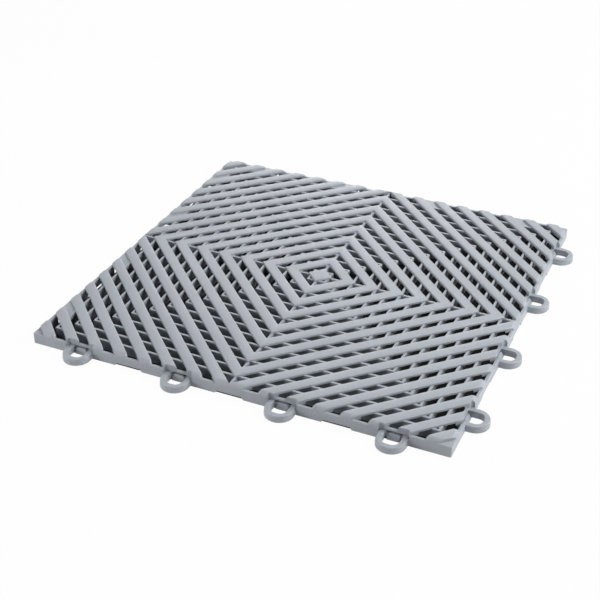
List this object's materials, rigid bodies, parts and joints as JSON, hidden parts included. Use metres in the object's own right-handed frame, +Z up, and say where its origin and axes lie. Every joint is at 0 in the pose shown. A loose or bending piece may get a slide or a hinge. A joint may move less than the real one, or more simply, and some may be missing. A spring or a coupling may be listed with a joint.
{
  "type": "interlocking floor tile",
  "caption": "Square grey vented floor tile with diamond ribs over square webs, loops on two edges and pegs on the other two.",
  "frame": {"origin": "centre of the ribbed square, on the floor, at the bottom of the middle foot", "axes": "+Z up out of the walking surface; loops on the -Y and +X edges, pegs on the +Y and -X edges"},
  "size_m": [0.4175, 0.4175, 0.014],
  "materials": {
    "grey_polypropylene": "fine mould texture, dull satin"
  },
  "bodies": {
    "root": {"tile_left_half": "grey_polypropylene", "tile_right_half": "grey_polypropylene"}
  },
  "joints": []
}
